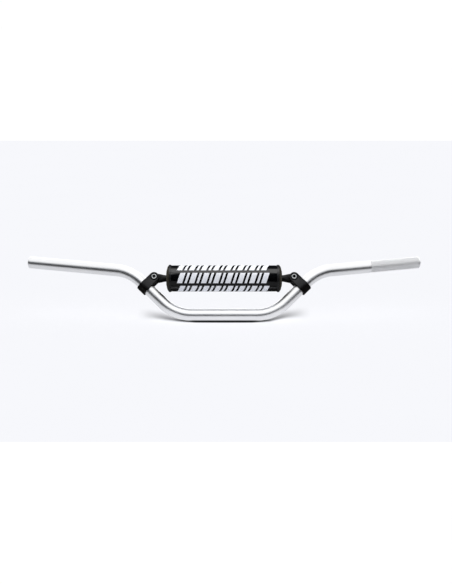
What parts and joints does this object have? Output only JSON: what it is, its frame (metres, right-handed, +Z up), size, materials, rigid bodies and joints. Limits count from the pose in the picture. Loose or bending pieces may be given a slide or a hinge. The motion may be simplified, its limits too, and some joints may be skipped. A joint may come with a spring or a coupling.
{
  "type": "motorcycle handlebar",
  "caption": "Bent off-road handlebar with a bolted cross brace and a round bar pad; clamps at its middle and takes grips and controls at both ends.",
  "frame": {"origin": "centre of the middle clamping section, on the tube's axis", "axes": "+X along the middle section to the rider's left, +Y to the rear, +Z up with the bar leaned back 22 degrees as it is clamped"},
  "size_m": [0.7414, 0.1247, 0.1068],
  "materials": {
    "bar_alloy": "satin silver anodised",
    "black_anodised": "satin black anodised",
    "zinc_steel": "bright zinc plated",
    "black_steel": "black oxide",
    "nylon": "natural nylon",
    "foam": "closed cell foam",
    "pad_vinyl": "glossy coated vinyl with a white printed pattern",
    "pad_fabric": "matt woven nylon",
    "hook_and_loop": "hook and loop tape"
  },
  "bodies": {
    "bar": {"handlebar_tube": "bar_alloy", "crossbar": "black_anodised", "left_clamp": "black_anodised", "right_clamp": "black_anodised", "left_lock_nut": "zinc_steel", "right_lock_nut": "zinc_steel", "left_nut_insert": "nylon", "right_nut_insert": "nylon"},
    "pad": {"pad_foam_core": "foam", "pad_cover": "pad_vinyl", "left_pad_end_panel": "pad_fabric", "right_pad_end_panel": "pad_fabric", "left_pad_binding": "pad_vinyl", "right_pad_binding": "pad_vinyl", "pad_hook_strip": "hook_and_loop", "pad_loop_strip": "hook_and_loop"},
    "left_washer_seat": {"left_washer": "black_steel"},
    "left_bolt": {"left_clamp_bolt": "zinc_steel"},
    "right_washer_seat": {"right_washer": "black_steel"},
    "right_bolt": {"right_clamp_bolt": "zinc_steel"}
  },
  "joints": [
    {"name": "pad_spin", "type": "hinge", "parent": "bar", "child": "pad", "pos_m": [0, 0.02601, 0.06438], "axis": [1, 0, 0], "continuous": true},
    {"name": "left_washer_travel", "type": "slide", "parent": "bar", "child": "left_washer_seat", "axis": [0, -0.9272, 0.3746], "range_m": [0, 0.005]},
    {"name": "left_bolt_turn", "type": "hinge", "parent": "left_washer_seat", "child": "left_bolt", "pos_m": [0.12982, 0.02601, 0.06438], "axis": [0, -0.9272, 0.3746], "range_deg": [0, 1805]},
    {"name": "right_washer_travel", "type": "slide", "parent": "bar", "child": "right_washer_seat", "axis": [0, -0.9272, 0.3746], "range_m": [0, 0.005]},
    {"name": "right_bolt_turn", "type": "hinge", "parent": "right_washer_seat", "child": "right_bolt", "pos_m": [-0.12982, 0.02601, 0.06438], "axis": [0, -0.9272, 0.3746], "range_deg": [0, 1805]}
  ],
  "couplings": [
    {"joint": "left_bolt_turn", "follows": "left_washer_travel", "rad_per_m": 6283.2},
    {"joint": "right_bolt_turn", "follows": "right_washer_travel", "rad_per_m": 6283.2}
  ]
}
